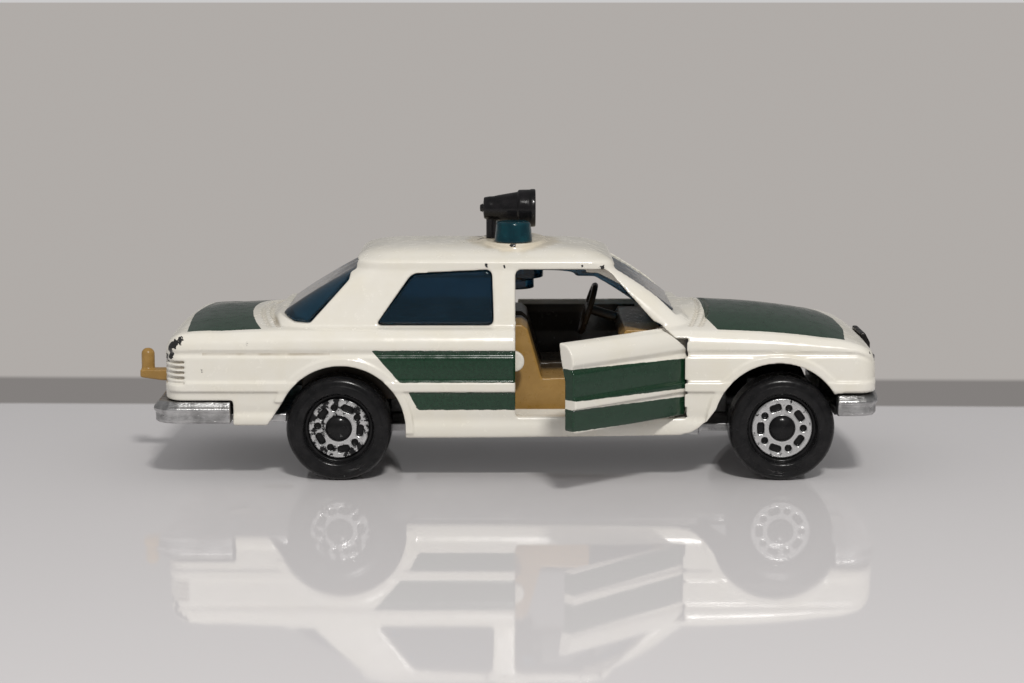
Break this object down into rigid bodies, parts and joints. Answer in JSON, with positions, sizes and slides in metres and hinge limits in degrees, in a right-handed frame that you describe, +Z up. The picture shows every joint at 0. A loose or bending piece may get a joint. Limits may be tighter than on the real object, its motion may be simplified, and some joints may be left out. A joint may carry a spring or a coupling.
{
  "type": "miniature car",
  "caption": "Die-cast miniature police saloon with opening doors, sprung axles, tow hook and roof beacons, one door standing open.",
  "frame": {"origin": "centre of the flat underside of the base plate, midway between the axles", "axes": "+X forward towards the bonnet, +Y to the car's left, +Z up; the wheels stand on the ground at z = -4.5 mm"},
  "size_m": [0.0795, 0.0382, 0.0294],
  "materials": {
    "body_paint": "glossy off-white enamel on zinc",
    "bare_zinc": "bare tumbled die-cast zinc",
    "interior_plastic": "semi-gloss tan moulding",
    "blue_glazing": "clear blue-tinted plastic",
    "beacon_lens": "dark teal translucent plastic",
    "black_plastic": "black moulding, hubs foiled silver",
    "steel": "plain drawn steel"
  },
  "bodies": {
    "chassis": {"body_shell": "body_paint", "base_plate": "bare_zinc", "interior": "interior_plastic", "glazing": "blue_glazing", "beacon_right": "beacon_lens", "beacon_left": "beacon_lens", "horn": "black_plastic", "front_axle_spring": "steel", "rear_axle_spring": "steel"},
    "right_door": {"door_right": "body_paint"},
    "left_door": {"door_left": "body_paint"},
    "front_axle_set": {"front_axle": "steel"},
    "rear_axle_set": {"rear_axle": "steel"},
    "front_right_wheel": {"wheel_front_right": "black_plastic"},
    "front_left_wheel": {"wheel_front_left": "black_plastic"},
    "rear_right_wheel": {"wheel_rear_right": "black_plastic"},
    "rear_left_wheel": {"wheel_rear_left": "black_plastic"}
  },
  "joints": [
    {"name": "right_door_hinge", "type": "hinge", "parent": "chassis", "child": "right_door", "pos_m": [0.0117, -0.012, 0.0062], "axis": [0, 0, 1], "range_deg": [-43, 17]},
    {"name": "left_door_hinge", "type": "hinge", "parent": "chassis", "child": "left_door", "pos_m": [0.0117, 0.012, 0.0062], "axis": [0, 0, -1], "range_deg": [0, 60]},
    {"name": "front_axle_travel", "type": "slide", "parent": "chassis", "child": "front_axle_set", "axis": [0, 0, 1], "range_m": [0, 0.0006], "stiffness_N_per_m": 600, "springref_m": -0.0006, "deforming": ["front_axle_spring"]},
    {"name": "rear_axle_travel", "type": "slide", "parent": "chassis", "child": "rear_axle_set", "axis": [0, 0, 1], "range_m": [0, 0.0006], "stiffness_N_per_m": 600, "springref_m": -0.0006, "deforming": ["rear_axle_spring"]},
    {"name": "front_right_wheel_spin", "type": "hinge", "parent": "front_axle_set", "child": "front_right_wheel", "pos_m": [0.0231, -0.01125, 0.001], "axis": [0, 1, 0], "continuous": true},
    {"name": "front_left_wheel_spin", "type": "hinge", "parent": "front_axle_set", "child": "front_left_wheel", "pos_m": [0.0231, 0.01125, 0.001], "axis": [0, 1, 0], "continuous": true},
    {"name": "rear_right_wheel_spin", "type": "hinge", "parent": "rear_axle_set", "child": "rear_right_wheel", "pos_m": [-0.0231, -0.01125, 0.001], "axis": [0, 1, 0], "continuous": true},
    {"name": "rear_left_wheel_spin", "type": "hinge", "parent": "rear_axle_set", "child": "rear_left_wheel", "pos_m": [-0.0231, 0.01125, 0.001], "axis": [0, 1, 0], "continuous": true}
  ]
}
